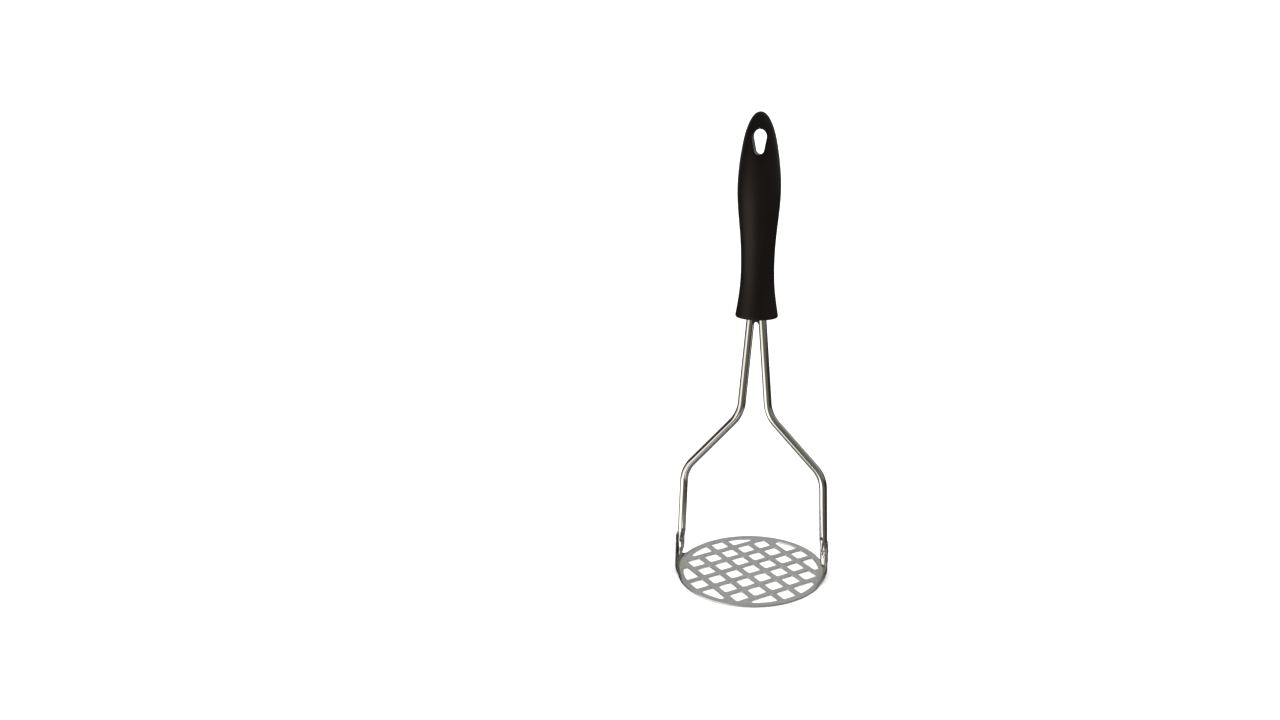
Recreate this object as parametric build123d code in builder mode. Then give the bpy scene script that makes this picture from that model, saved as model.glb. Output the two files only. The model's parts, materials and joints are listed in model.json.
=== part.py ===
from build123d import *
import os
from math import asin, cos, degrees, radians, sin

# Potato masher: a round perforated plate on two bent stainless rods, with a moulded handle.
# Origin: centre of the plate's underside. +Z runs up the handle, X lies across the two rods.
# All lengths are millimetres and all angles are degrees.

os.makedirs("parts", exist_ok=True)

# ---------------------------------------------------------------- driving dimensions
# Stamped plate
PLATE_RADIUS = 42.5
SHEET_THICKNESS = 1.0
HOLE_PITCH = 11.5
HOLE_SIDE = 8.6
HOLE_CORNER_RADIUS = 0.9
HOLE_FIELD_RADIUS = 39.1
HOLE_GRID_ANGLE = 40.0
FULL_ROWS = 5
EDGE_ROW = 3
EDGE_HOLE_REACH = 20.8
EDGE_CORNER_RADIUS = 0.6
RIM_ROUNDING = 0.25

# Lugs bent up from the plate's rim
LUG_OUTER_RADIUS = 43.75
LUG_BEND_RADIUS = 3.0
LUG_TOP_Z = 20.5
LUG_FOOT_HALF_WIDTH = 6.2
LUG_TOP_HALF_WIDTH = 4.0
LUG_TOP_CORNER_RADIUS = 3.2
LUG_FLARE_RADIUS = 4.5
LUG_FLARE_HALF_WIDTH = 12.0

# Rods
ROD_DIAMETER = 4.5
ROD_FOOT_X = 40.7
ROD_FOOT_Z = 22.5
LOWER_BEND = (39.1, 59.7)
UPPER_BEND = (7.7, 94.3)
LOWER_BEND_RADIUS = 19.0
UPPER_BEND_RADIUS = 19.7
TANG_X = 2.45
TANG_BEND_Z = 156.9
TANG_BEND_RADIUS = 40.0
TANG_TOP_Z = 195.0

# Flattened rod feet
FLAT_TOP_Z = 16.5
FLAT_BOTTOM_Z = 5.5
FLAT_WIDTH = 7.2
FLAT_DEPTH = 4.6
FLAT_THICKNESS = 3.5
FLAT_TIP_THICKNESS = 1.5
FLAT_TAPER_Z = 13.0
PRESS_RAMP_Z = 21.0
PRESS_RAMP_DEPTH = 2.0

# Spot welds between rods and lugs
WELD_RADIUS = 1.4
WELD_RIM_HEIGHT = 0.05
WELD_DOME_HEIGHT = 0.12
WELD_INNER_X = 41.3
UPPER_WELD_Z = 15.0
LOWER_WELD_Z = 9.4

# Weld beads that join the rods' upper ends
BEAD_RADIUS = 1.2
BEAD_Y = -1.7
BEAD_LENGTH = 9.0
UPPER_BEAD_Z = 186.0
LOWER_BEAD_Z = 167.0

# Rigid core moulded round the rods
CORE_BOTTOM_Z = 149.0
CORE_TOP_Z = 201.0
CORE_WIDTH = 13.0
CORE_DEPTH = 8.6
CORE_CORNER_RADIUS = 3.6
NOSE_BOTTOM_Z = 145.4
NOSE_HALF_WIDTH = 3.0
NOSE_DEPTH = 3.4
NOSE_ARCH_RADIUS = 1.2

# Grip
GRIP_BASE_Z = 149.0
GRIP_FLARE_Z = 150.35
GRIP_FLARE_RADIUS = 11.55
GRIP_BASE_ROUNDING = 1.35
GRIP_TOP_Z = 255.8
GRIP_DEPTH_RATIO = 0.8
GRIP_OUTLINE = [
    (GRIP_FLARE_RADIUS, GRIP_FLARE_Z),
    (10.6, 156.0),
    (9.35, 165.7),
    (8.93, 178.6),
    (9.45, 191.0),
    (10.65, 203.6),
    (11.39, 216.0),
    (10.75, 228.0),
    (8.97, 240.0),
    (6.44, 249.0),
    (0.0, GRIP_TOP_Z),
]
GRIP_BASE_TANGENT = (-0.17, 1.0)
GRIP_TOP_TANGENT = (-1.0, 0.0)

# Hanging eye
EYE_TOP_CENTRE_Z = 243.35
EYE_TOP_RADIUS = 3.75
EYE_BOTTOM_CENTRE_Z = 237.1
EYE_BOTTOM_RADIUS = 2.7
EYE_EDGE_ROUNDING = 0.7
EYE_LOWEST_Z = EYE_BOTTOM_CENTRE_Z - EYE_BOTTOM_RADIUS - EYE_EDGE_ROUNDING
EYE_HIGHEST_Z = EYE_TOP_CENTRE_Z + EYE_TOP_RADIUS + EYE_EDGE_ROUNDING

# ---------------------------------------------------------------- worked-out values
ROD_RADIUS = ROD_DIAMETER / 2
LUG_INNER_RADIUS = LUG_OUTER_RADIUS - SHEET_THICKNESS
LUG_BEND_START = LUG_OUTER_RADIUS - LUG_BEND_RADIUS
LUG_ARC = 2 * degrees(asin(LUG_FLARE_HALF_WIDTH / LUG_BEND_START))
FLAT_CENTRE_X = LUG_INNER_RADIUS - FLAT_THICKNESS / 2
PRESS_FACE_X = LUG_INNER_RADIUS - FLAT_THICKNESS
PRESS_TIP_X = LUG_INNER_RADIUS - FLAT_TIP_THICKNESS
QUARTERS = 4
OVERCUT = 5.0


# ---------------------------------------------------------------- lug and its welds
def plane_through_axis(angle):
    """Upright plane that holds the Z axis, turned from +X by an angle."""
    outward = (cos(radians(angle)), sin(radians(angle)), 0)
    normal = (sin(radians(angle)), -cos(radians(angle)), 0)
    return Plane(origin=(0, 0, 0), x_dir=outward, z_dir=normal)


# The sheet bends up from the rim and is trimmed to a tongue with a flared foot.
with BuildPart() as lug:
    with BuildSketch(plane_through_axis(-LUG_ARC / 2)):
        with BuildLine():
            FilletPolyline(
                (LUG_BEND_START - SHEET_THICKNESS, 0),
                (LUG_OUTER_RADIUS, 0),
                (LUG_OUTER_RADIUS, LUG_TOP_Z),
                (LUG_INNER_RADIUS, LUG_TOP_Z),
                (LUG_INNER_RADIUS, SHEET_THICKNESS),
                (LUG_BEND_START - SHEET_THICKNESS, SHEET_THICKNESS),
                radius=[0, LUG_BEND_RADIUS, 0, 0, LUG_BEND_RADIUS - SHEET_THICKNESS, 0],
                close=True,
            )
        make_face()
    revolve(axis=Axis.Z, revolution_arc=LUG_ARC)
    with BuildSketch(Plane.YZ):
        with BuildLine():
            FilletPolyline(
                (LUG_FLARE_HALF_WIDTH, -OVERCUT),
                (LUG_FLARE_HALF_WIDTH, SHEET_THICKNESS),
                (LUG_FOOT_HALF_WIDTH, SHEET_THICKNESS),
                (LUG_TOP_HALF_WIDTH, LUG_TOP_Z),
                (-LUG_TOP_HALF_WIDTH, LUG_TOP_Z),
                (-LUG_FOOT_HALF_WIDTH, SHEET_THICKNESS),
                (-LUG_FLARE_HALF_WIDTH, SHEET_THICKNESS),
                (-LUG_FLARE_HALF_WIDTH, -OVERCUT),
                radius=[
                    0,
                    0,
                    LUG_FLARE_RADIUS,
                    LUG_TOP_CORNER_RADIUS,
                    LUG_TOP_CORNER_RADIUS,
                    LUG_FLARE_RADIUS,
                    0,
                    0,
                ],
                close=True,
            )
        make_face()
    extrude(amount=PLATE_RADIUS + OVERCUT, mode=Mode.INTERSECT)

# Each spot weld is a nugget through the lug into the rod's flat, with a low dome outside.
welds = []
for side_name, side in (("left", -1), ("right", 1)):
    for level_name, level in (("lower", LOWER_WELD_Z), ("upper", UPPER_WELD_Z)):
        weld_plane = Plane(origin=(0, 0, level), x_dir=(side, 0, 0), z_dir=(0, -side, 0))
        with BuildPart() as weld:
            with BuildSketch(weld_plane):
                with BuildLine():
                    dome_base_x = LUG_OUTER_RADIUS + WELD_RIM_HEIGHT
                    Polyline(
                        (dome_base_x + WELD_DOME_HEIGHT, 0),
                        (WELD_INNER_X, 0),
                        (WELD_INNER_X, WELD_RADIUS),
                        (dome_base_x, WELD_RADIUS),
                    )
                    TangentArc(
                        (dome_base_x + WELD_DOME_HEIGHT, 0),
                        (dome_base_x, WELD_RADIUS),
                        tangent=(0, 1),
                    )
                make_face()
            revolve(axis=Axis((0, 0, level), (1, 0, 0)))
        weld.part.label = f"{side_name}_{level_name}_weld"
        welds.append(weld.part)


# ---------------------------------------------------------------- masher plate
# One of the eight openings that the edge of the punched field cuts short.
with BuildSketch() as edge_hole:
    inner_side = HOLE_PITCH - HOLE_SIDE / 2
    near_side = EDGE_ROW * HOLE_PITCH - HOLE_SIDE / 2
    with Locations((inner_side, near_side)):
        Rectangle(EDGE_HOLE_REACH - inner_side, HOLE_PITCH, align=(Align.MIN, Align.MIN))
    Circle(HOLE_FIELD_RADIUS, mode=Mode.INTERSECT)
    fillet(edge_hole.vertices(), EDGE_CORNER_RADIUS)

# All 37 openings: 25 in the middle, 4 single ones outside them and 8 cut short by the rim.
with BuildSketch() as hole_field:
    with GridLocations(HOLE_PITCH, HOLE_PITCH, FULL_ROWS, FULL_ROWS):
        RectangleRounded(HOLE_SIDE, HOLE_SIDE, HOLE_CORNER_RADIUS)
    with PolarLocations(EDGE_ROW * HOLE_PITCH, QUARTERS):
        RectangleRounded(HOLE_SIDE, HOLE_SIDE, HOLE_CORNER_RADIUS)
    with PolarLocations(0, QUARTERS):
        add(edge_hole.sketch)
        add(edge_hole.sketch.mirror(Plane.YZ))

with BuildPart() as masher_plate:
    with BuildSketch():
        Circle(PLATE_RADIUS)
    extrude(amount=SHEET_THICKNESS)
    fillet(masher_plate.edges().filter_by(GeomType.CIRCLE), RIM_ROUNDING)
    # The rim is cut back where each lug bends up from it.
    for lug_angle in (0, 180):
        with BuildSketch(plane_through_axis(lug_angle - LUG_ARC / 2)):
            with Locations((LUG_BEND_START, 0)):
                Rectangle(OVERCUT, OVERCUT, align=(Align.MIN, Align.CENTER))
        revolve(axis=Axis.Z, revolution_arc=LUG_ARC, mode=Mode.SUBTRACT)
    add(lug.part)
    mirror(lug.part, about=Plane.YZ)
    add(hole_field.sketch.rotate(Axis.Z, HOLE_GRID_ANGLE))
    extrude(amount=OVERCUT, both=True, mode=Mode.SUBTRACT)
    add(welds, mode=Mode.SUBTRACT)


# ---------------------------------------------------------------- rods
with BuildPart() as right_rod:
    with BuildLine(Plane.XZ) as route:
        FilletPolyline(
            (ROD_FOOT_X, ROD_FOOT_Z),
            LOWER_BEND,
            UPPER_BEND,
            (TANG_X, TANG_BEND_Z),
            (TANG_X, TANG_TOP_Z),
            radius=[LOWER_BEND_RADIUS, UPPER_BEND_RADIUS, TANG_BEND_RADIUS],
        )
    foot_plane = Plane(origin=route.line @ 0, x_dir=(0, 1, 0), z_dir=route.line % 0)
    flat_plane = Plane(origin=(FLAT_CENTRE_X, 0, FLAT_TOP_Z), x_dir=(0, 1, 0), z_dir=(0, 0, 1))
    with BuildSketch(foot_plane):
        Circle(ROD_RADIUS)
    sweep()
    # The foot widens from the round rod to the pressed flat.
    with BuildSketch(foot_plane):
        Circle(ROD_RADIUS)
    with BuildSketch(flat_plane):
        Ellipse(FLAT_WIDTH / 2, FLAT_DEPTH / 2)
    loft()
    with BuildSketch(flat_plane):
        Ellipse(FLAT_WIDTH / 2, FLAT_DEPTH / 2)
    extrude(amount=FLAT_BOTTOM_Z - FLAT_TOP_Z)
    # The press flattens and tapers the inner side, and the lug shapes the outer side.
    with BuildSketch(Plane.XZ):
        with BuildLine():
            Polyline(
                (PRESS_TIP_X, 0),
                (PRESS_TIP_X, FLAT_BOTTOM_Z),
                (PRESS_FACE_X, FLAT_TAPER_Z),
                (PRESS_FACE_X, FLAT_TOP_Z),
                (PRESS_FACE_X - PRESS_RAMP_DEPTH, PRESS_RAMP_Z),
                (PRESS_FACE_X - OVERCUT, PRESS_RAMP_Z),
                (PRESS_FACE_X - OVERCUT, 0),
                close=True,
            )
        make_face()
    extrude(amount=FLAT_WIDTH, both=True, mode=Mode.SUBTRACT)
    add(lug.part, mode=Mode.SUBTRACT)
    add(welds, mode=Mode.SUBTRACT)

with BuildPart() as left_rod:
    mirror(right_rod.part, about=Plane.YZ)


# ---------------------------------------------------------------- tang welds
# Beads in the groove between the rods' parallel upper ends, inside the handle.
tang_welds = []
for level_name, level in (("lower", LOWER_BEAD_Z), ("upper", UPPER_BEAD_Z)):
    with BuildPart() as bead:
        with BuildSketch(Plane.XY.offset(level)):
            with Locations((0, BEAD_Y)):
                Circle(BEAD_RADIUS)
        extrude(amount=BEAD_LENGTH / 2, both=True)
        add((left_rod.part, right_rod.part), mode=Mode.SUBTRACT)
    bead.part.label = f"tang_{level_name}_weld"
    tang_welds.append(bead.part)


# ---------------------------------------------------------------- handle
def core_outline():
    """Rounded block of the core's section, as wide as the pocket in the grip."""
    RectangleRounded(CORE_WIDTH, CORE_DEPTH, CORE_CORNER_RADIUS)


with BuildPart() as handle_core:
    with BuildSketch(Plane.XY.offset(CORE_BOTTOM_Z)):
        core_outline()
    extrude(amount=CORE_TOP_Z - CORE_BOTTOM_Z)
    # A short nose of the core shows between the rods, hollowed to an arch.
    with BuildSketch(Plane.XZ):
        with Locations((0, NOSE_BOTTOM_Z)):
            Rectangle(
                2 * NOSE_HALF_WIDTH,
                CORE_BOTTOM_Z - NOSE_BOTTOM_Z,
                align=(Align.CENTER, Align.MIN),
            )
            Circle(NOSE_ARCH_RADIUS, mode=Mode.SUBTRACT)
    extrude(amount=NOSE_DEPTH / 2, both=True)
    add((left_rod.part, right_rod.part), mode=Mode.SUBTRACT)
    add(tang_welds, mode=Mode.SUBTRACT)

with BuildPart() as grip:
    with BuildSketch(Plane.XZ):
        with BuildLine():
            Line((0, GRIP_TOP_Z), (0, GRIP_BASE_Z))
            Line((0, GRIP_BASE_Z), (GRIP_FLARE_RADIUS - GRIP_BASE_ROUNDING, GRIP_BASE_Z))
            RadiusArc(
                (GRIP_FLARE_RADIUS - GRIP_BASE_ROUNDING, GRIP_BASE_Z),
                (GRIP_FLARE_RADIUS, GRIP_FLARE_Z),
                -GRIP_BASE_ROUNDING,
            )
            Spline(*GRIP_OUTLINE, tangents=(GRIP_BASE_TANGENT, GRIP_TOP_TANGENT))
        make_face()
    revolve(axis=Axis.Z)
    scale(by=(1, GRIP_DEPTH_RATIO, 1))
    with BuildSketch(Plane.XZ):
        with Locations((0, EYE_TOP_CENTRE_Z)):
            Circle(EYE_TOP_RADIUS)
        with Locations((0, EYE_BOTTOM_CENTRE_Z)):
            Circle(EYE_BOTTOM_RADIUS)
        make_hull()
    extrude(amount=GRIP_FLARE_RADIUS, both=True, mode=Mode.SUBTRACT)
    eye_rims = grip.edges().filter_by_position(Axis.Z, EYE_LOWEST_Z, EYE_HIGHEST_Z)
    eye_rims = eye_rims.filter_by(lambda rim: abs(rim.center().Y) > CORE_DEPTH / 2)
    fillet(eye_rims, EYE_EDGE_ROUNDING)
    with BuildSketch(Plane.XY.offset(GRIP_BASE_Z)):
        core_outline()
    extrude(amount=CORE_TOP_Z - GRIP_BASE_Z, mode=Mode.SUBTRACT)


# ---------------------------------------------------------------- names and files
masher_plate.part.label = "masher_plate"
left_rod.part.label = "left_rod"
right_rod.part.label = "right_rod"
handle_core.part.label = "handle_core"
grip.part.label = "grip"

export_step(masher_plate.part, "parts/masher_plate.step")
export_step(left_rod.part, "parts/left_rod.step")
export_step(right_rod.part, "parts/right_rod.step")
export_step(handle_core.part, "parts/handle_core.step")
export_step(grip.part, "parts/grip.step")
for weld_part in welds + tang_welds:
    export_step(weld_part, f"parts/{weld_part.label}.step")
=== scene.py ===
import json
import math

import bmesh
import bpy
import numpy as np
from mathutils import Matrix, Vector


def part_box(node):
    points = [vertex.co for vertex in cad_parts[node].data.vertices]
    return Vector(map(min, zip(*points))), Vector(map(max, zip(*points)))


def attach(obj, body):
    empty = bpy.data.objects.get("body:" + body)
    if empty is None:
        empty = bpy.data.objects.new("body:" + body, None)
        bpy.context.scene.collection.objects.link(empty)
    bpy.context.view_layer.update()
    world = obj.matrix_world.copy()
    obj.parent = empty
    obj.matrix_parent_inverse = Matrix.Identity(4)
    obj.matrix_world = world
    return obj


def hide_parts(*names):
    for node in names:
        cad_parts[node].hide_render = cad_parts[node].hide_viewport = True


# Potato masher: a satin stamped plate on two polished rods, under a black moulded handle.
# The scene is in metres. A name that ends in MM holds millimetres: mm() turns such a value
# into metres, and the meshes are worked out in millimetres and scaled as they are made.

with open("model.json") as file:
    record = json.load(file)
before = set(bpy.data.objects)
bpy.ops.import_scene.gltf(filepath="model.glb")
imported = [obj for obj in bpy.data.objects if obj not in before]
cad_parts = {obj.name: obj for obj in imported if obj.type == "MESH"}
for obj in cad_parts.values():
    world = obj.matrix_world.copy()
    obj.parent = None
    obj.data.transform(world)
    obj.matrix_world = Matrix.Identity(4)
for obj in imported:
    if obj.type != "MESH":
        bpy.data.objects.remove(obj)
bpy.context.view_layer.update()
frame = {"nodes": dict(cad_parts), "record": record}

BODY = "root"
METRES_PER_MM = 0.001
LEFT, RIGHT = -1, 1


def mm(value):
    """Millimetres to metres."""
    return value * METRES_PER_MM


def blend(start, end, share):
    """Value that share of the way from start to end."""
    return start + (end - start) * share


# ---------------------------------------------------------------- shared sizes, most from the frame
plate_low, plate_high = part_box("masher_plate")
grip_low, grip_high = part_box("grip")
rod_low, rod_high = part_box("right_rod")

PLATE_RADIUS_MM = round(plate_high.y / METRES_PER_MM, 1)
LUG_TOP_MM = plate_high.z / METRES_PER_MM
LUG_OUTER_MM = plate_high.x / METRES_PER_MM
GRIP_BASE_MM = grip_low.z / METRES_PER_MM
GRIP_TOP_MM = grip_high.z / METRES_PER_MM
GRIP_HALF_WIDTH_MM = grip_high.x / METRES_PER_MM
GRIP_DEPTH_RATIO = grip_high.y / grip_high.x
ROD_TOP_MM = rod_high.z / METRES_PER_MM
ROD_BOTTOM_MM = rod_low.z / METRES_PER_MM
SHEET_MM = 1.0


# ---------------------------------------------------------------- node helpers
SWEPT_UV = "around_along"


def new_material(name):
    """A node material, its node tree and its principled shader."""
    material = bpy.data.materials.new(name)
    material.use_nodes = True
    tree = material.node_tree
    return material, tree, tree.nodes["Principled BSDF"]


def wire(tree, shader, socket, value):
    """Links a value to the shader's socket of that name."""
    tree.links.new(value, shader.inputs[socket])


def stretched(tree, vector, stretch):
    """Vector socket times stretch, as a socket."""
    mapping = tree.nodes.new("ShaderNodeMapping")
    mapping.inputs["Scale"].default_value = stretch
    tree.links.new(vector, mapping.inputs["Vector"])
    return mapping.outputs["Vector"]


def object_coordinates(tree, stretch=(1.0, 1.0, 1.0)):
    """Object-space position times stretch, as a socket."""
    coordinates = tree.nodes.new("ShaderNodeTexCoord")
    return stretched(tree, coordinates.outputs["Object"], stretch)


def uv_coordinates(tree, stretch):
    """The swept surface's own coordinates (around, along) times stretch, as a socket."""
    uv = tree.nodes.new("ShaderNodeUVMap")
    uv.uv_map = SWEPT_UV
    return stretched(tree, uv.outputs["UV"], stretch)


def split_axes(tree, vector):
    """X, Y and Z of a vector socket, as three sockets."""
    node = tree.nodes.new("ShaderNodeSeparateXYZ")
    tree.links.new(vector, node.inputs[0])
    return tuple(node.outputs)


def noise(tree, vector, scale, detail=4.0, roughness=0.55):
    """Noise texture's factor socket."""
    texture = tree.nodes.new("ShaderNodeTexNoise")
    texture.inputs["Scale"].default_value = scale
    texture.inputs["Detail"].default_value = detail
    texture.inputs["Roughness"].default_value = roughness
    tree.links.new(vector, texture.inputs["Vector"])
    return texture.outputs["Fac"]


def remap(tree, value, low, high, new_low, new_high):
    """Maps value from low..high to new_low..new_high, clamped."""
    node = tree.nodes.new("ShaderNodeMapRange")
    node.inputs["From Min"].default_value = low
    node.inputs["From Max"].default_value = high
    node.inputs["To Min"].default_value = new_low
    node.inputs["To Max"].default_value = new_high
    tree.links.new(value, node.inputs["Value"])
    return node.outputs["Result"]


def remap_mm(tree, value, span_mm, new_low, new_high):
    """Maps a length over a span given in millimetres to new_low..new_high, clamped."""
    low, high = span_mm
    return remap(tree, value, mm(low), mm(high), new_low, new_high)


def arithmetic(tree, operation, first, second=0.0):
    """Math node on one or two values, each a socket or a number."""
    node = tree.nodes.new("ShaderNodeMath")
    node.operation = operation
    for socket, value in zip(node.inputs, (first, second)):
        if isinstance(value, (int, float)):
            socket.default_value = value
        else:
            tree.links.new(value, socket)
    return node.outputs["Value"]


def product(tree, *factors):
    """Product of several value sockets."""
    result = factors[0]
    for factor in factors[1:]:
        result = arithmetic(tree, "MULTIPLY", result, factor)
    return result


def mix_colours(tree, factor, first, second):
    """Blend of two colours, each a socket or a tuple, by a factor socket."""
    node = tree.nodes.new("ShaderNodeMix")
    node.data_type = "RGBA"
    tree.links.new(factor, node.inputs["Factor"])
    for socket, value in zip((node.inputs[6], node.inputs[7]), (first, second)):
        if isinstance(value, tuple):
            socket.default_value = (*value, 1.0)
        else:
            tree.links.new(value, socket)
    return node.outputs[2]


def bump(tree, height, distance, strength, under=None):
    """Bump node; distance in metres. Another bump may lie under it."""
    node = tree.nodes.new("ShaderNodeBump")
    node.inputs["Strength"].default_value = strength
    node.inputs["Distance"].default_value = distance
    tree.links.new(height, node.inputs["Height"])
    if under is not None:
        tree.links.new(under, node.inputs["Normal"])
    return node.outputs["Normal"]


# ---------------------------------------------------------------- materials
def grip_plastic():
    """Satin black moulded plastic: spark-textured skin, faint flow marks and handling shine."""
    material, tree, shader = new_material("grip_plastic")
    place = object_coordinates(tree)
    tall_place = object_coordinates(tree, (1.0, 1.0, 0.12))
    skin = noise(tree, place, 2600.0, 3.0, 0.6)
    cloud = noise(tree, place, 55.0, 4.0, 0.6)
    flow = noise(tree, tall_place, 160.0, 3.0, 0.5)
    handled = noise(tree, place, 24.0, 2.0, 0.5)
    black = mix_colours(tree, cloud, (0.0020, 0.0014, 0.0011), (0.0044, 0.0032, 0.0026))
    wire(tree, shader, "Base Color", black)
    rough_cloud = remap(tree, cloud, 0.3, 0.7, -0.03, 0.04)
    rough_hand = remap(tree, handled, 0.35, 0.65, 0.41, 0.48)
    wire(tree, shader, "Roughness", arithmetic(tree, "ADD", rough_cloud, rough_hand))
    flow_bump = bump(tree, flow, mm(0.05), 0.25)
    wire(tree, shader, "Normal", bump(tree, skin, mm(0.02), 0.35, flow_bump))
    shader.inputs["Specular IOR Level"].default_value = 0.30
    # Painted reflection: a warm specular tint colours the grip's highlight as warm surroundings would,
    # though none are in the scene.
    shader.inputs["Specular Tint"].default_value = (1.0, 0.87, 0.80, 1.0)
    return material


def core_plastic():
    """Plain black insert that shows between the rods."""
    material, tree, shader = new_material("core_plastic")
    cloud = noise(tree, object_coordinates(tree), 300.0)
    black = mix_colours(tree, cloud, (0.006, 0.006, 0.006), (0.012, 0.011, 0.011))
    wire(tree, shader, "Base Color", black)
    wire(tree, shader, "Roughness", remap(tree, cloud, 0.3, 0.7, 0.42, 0.55))
    wire(tree, shader, "Normal", bump(tree, cloud, mm(0.04), 0.3))
    return material


def rod_steel():
    """Polished drawn stainless: fine lines along the rod, light scuffs, a faint warm tint."""
    material, tree, shader = new_material("rod_steel")
    place = object_coordinates(tree)
    along = uv_coordinates(tree, (1.0, 0.035, 1.0))
    lines = noise(tree, along, 900.0, 3.0, 0.6)
    broad_lines = noise(tree, along, 210.0, 2.0, 0.5)
    scuffs = noise(tree, place, 420.0, 5.0, 0.7)
    stains = noise(tree, place, 38.0, 3.0, 0.6)
    wire(tree, shader, "Base Color", mix_colours(tree, stains, (0.58, 0.57, 0.54), (0.66, 0.655, 0.635)))
    shader.inputs["Metallic"].default_value = 1.0
    rough_lines = remap(tree, broad_lines, 0.3, 0.7, 0.05, 0.09)
    rough_scuffs = remap(tree, scuffs, 0.58, 0.74, 0.0, 0.10)
    wire(tree, shader, "Roughness", arithmetic(tree, "ADD", rough_lines, rough_scuffs))
    line_bump = bump(tree, lines, mm(0.006), 0.5)
    wire(tree, shader, "Normal", bump(tree, scuffs, mm(0.004), 0.3, line_bump))
    return material


# Where the plate's finish changes, and where the painted dark reflection on the rolled rim lies. Each
# pair is where a change starts and where it is complete.
HEAT_OUT_MM = (36.5, 39.5)
HEAT_BESIDE_MM = (4.5, 9.0)
HEAT_UP_MM = (2.0, 7.0)
ROLL_OUT_MM = (39.6, 41.6)
ROLL_CLEARS_LUG_MM = (4.0, 8.0)
ROLL_ENDS_MM = (17.0, 31.0)
LEFT_HALF_ENDS_MM = (0.0, 1.0)
SHEARED_UP_MM = (SHEET_MM, SHEET_MM + 0.4)
PLATE_EDGE_MM = (41.0, 42.0)
SHEARED_METALLIC = 0.62


def heat_mask(tree, x, y, z, smudge):
    """1 at the lugs' roots, where welding tints the steel, with a ragged edge."""
    return product(
        tree,
        remap_mm(tree, arithmetic(tree, "ABSOLUTE", x), HEAT_OUT_MM, 0.0, 1.0),
        remap_mm(tree, arithmetic(tree, "ABSOLUTE", y), HEAT_BESIDE_MM, 1.0, 0.0),
        remap(tree, smudge, 0.30, 0.55, 0.45, 1.0),
        remap_mm(tree, z, HEAT_UP_MM, 1.0, 0.15),
    )


def painted_dark_roll_mask(tree, x, y, reach):
    """1 on the rolled rim beside the left lug, where a dark reflection is painted into the colour."""
    beside = arithmetic(tree, "ABSOLUTE", y)
    return product(
        tree,
        remap_mm(tree, reach, ROLL_OUT_MM, 0.0, 1.0),
        remap_mm(tree, beside, ROLL_CLEARS_LUG_MM, 0.0, 1.0),
        remap_mm(tree, beside, ROLL_ENDS_MM, 1.0, 0.0),
        remap_mm(tree, x, LEFT_HALF_ENDS_MM, 1.0, 0.0),
    )


def sheared_mask(tree, z, reach):
    """1 on the openings' sheared walls, weaker on the plate's outer edge."""
    normal = tree.nodes.new("ShaderNodeNewGeometry").outputs["True Normal"]
    level = arithmetic(tree, "ABSOLUTE", split_axes(tree, normal)[2])
    return product(
        tree,
        remap(tree, level, 0.20, 0.60, 1.0, 0.0),
        remap_mm(tree, z, SHEARED_UP_MM, 1.0, 0.0),
        remap_mm(tree, reach, PLATE_EDGE_MM, 1.0, 0.35),
    )


def distance_from_axis(tree, x, y):
    """Distance from the Z axis, as a socket."""
    flat = tree.nodes.new("ShaderNodeCombineXYZ")
    tree.links.new(x, flat.inputs["X"])
    tree.links.new(y, flat.inputs["Y"])
    length = tree.nodes.new("ShaderNodeVectorMath")
    length.operation = "LENGTH"
    tree.links.new(flat.outputs[0], length.inputs[0])
    return length.outputs["Value"]


def plate_steel():
    """Satin stainless sheet: tumbled grain and soft smudges, heat tint at the lugs' roots, a painted dark
    reflection on the rolled rim beside the left lug, which is also burnished smoother, and dull sheared
    walls in the openings."""
    material, tree, shader = new_material("plate_steel")
    place = object_coordinates(tree)
    x, y, z = split_axes(tree, place)
    reach = distance_from_axis(tree, x, y)
    grain = noise(tree, place, 1900.0, 4.0, 0.65)
    rolling = noise(tree, object_coordinates(tree, (0.12, 1.0, 1.0)), 700.0, 3.0, 0.6)
    smudge = noise(tree, place, 45.0, 4.0, 0.6)
    tone = remap(tree, product(tree, smudge, rolling), 0.15, 0.38, 0.0, 1.0)
    painted_dark_and_burnished_roll = painted_dark_roll_mask(tree, x, y, reach)
    colour = mix_colours(tree, tone, (0.46, 0.46, 0.458), (0.58, 0.58, 0.575))
    colour = mix_colours(tree, heat_mask(tree, x, y, z, smudge), colour, (0.50, 0.49, 0.425))
    # Painted dark reflection: the rolled rim's colour is darkened to stand in for the dark surroundings
    # it would reflect.
    colour = mix_colours(tree, painted_dark_and_burnished_roll, colour, (0.33, 0.33, 0.32))
    wire(tree, shader, "Base Color", colour)
    metallic = remap(tree, sheared_mask(tree, z, reach), 0.0, 1.0, 1.0, SHEARED_METALLIC)
    wire(tree, shader, "Metallic", metallic)
    rough_grain = remap(tree, grain, 0.3, 0.7, 0.30, 0.38)
    rough_smudge = remap(tree, smudge, 0.35, 0.65, -0.03, 0.06)
    rough = arithmetic(tree, "ADD", rough_grain, rough_smudge)
    burnish = arithmetic(tree, "MULTIPLY", painted_dark_and_burnished_roll, 0.20)
    wire(tree, shader, "Roughness", arithmetic(tree, "SUBTRACT", rough, burnish))
    roll_bump = bump(tree, rolling, mm(0.008), 0.35)
    wire(tree, shader, "Normal", bump(tree, grain, mm(0.012), 0.4, roll_bump))
    return material


def weld_steel():
    """Bare spot weld: greyer and rougher than the sheet, with straw-coloured heat tint."""
    material, tree, shader = new_material("weld_steel")
    cloud = noise(tree, object_coordinates(tree), 700.0, 4.0, 0.7)
    wire(tree, shader, "Base Color", mix_colours(tree, cloud, (0.30, 0.27, 0.22), (0.52, 0.51, 0.49)))
    shader.inputs["Metallic"].default_value = 1.0
    wire(tree, shader, "Roughness", remap(tree, cloud, 0.3, 0.7, 0.3, 0.5))
    wire(tree, shader, "Normal", bump(tree, cloud, mm(0.08), 0.6))
    return material


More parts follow.
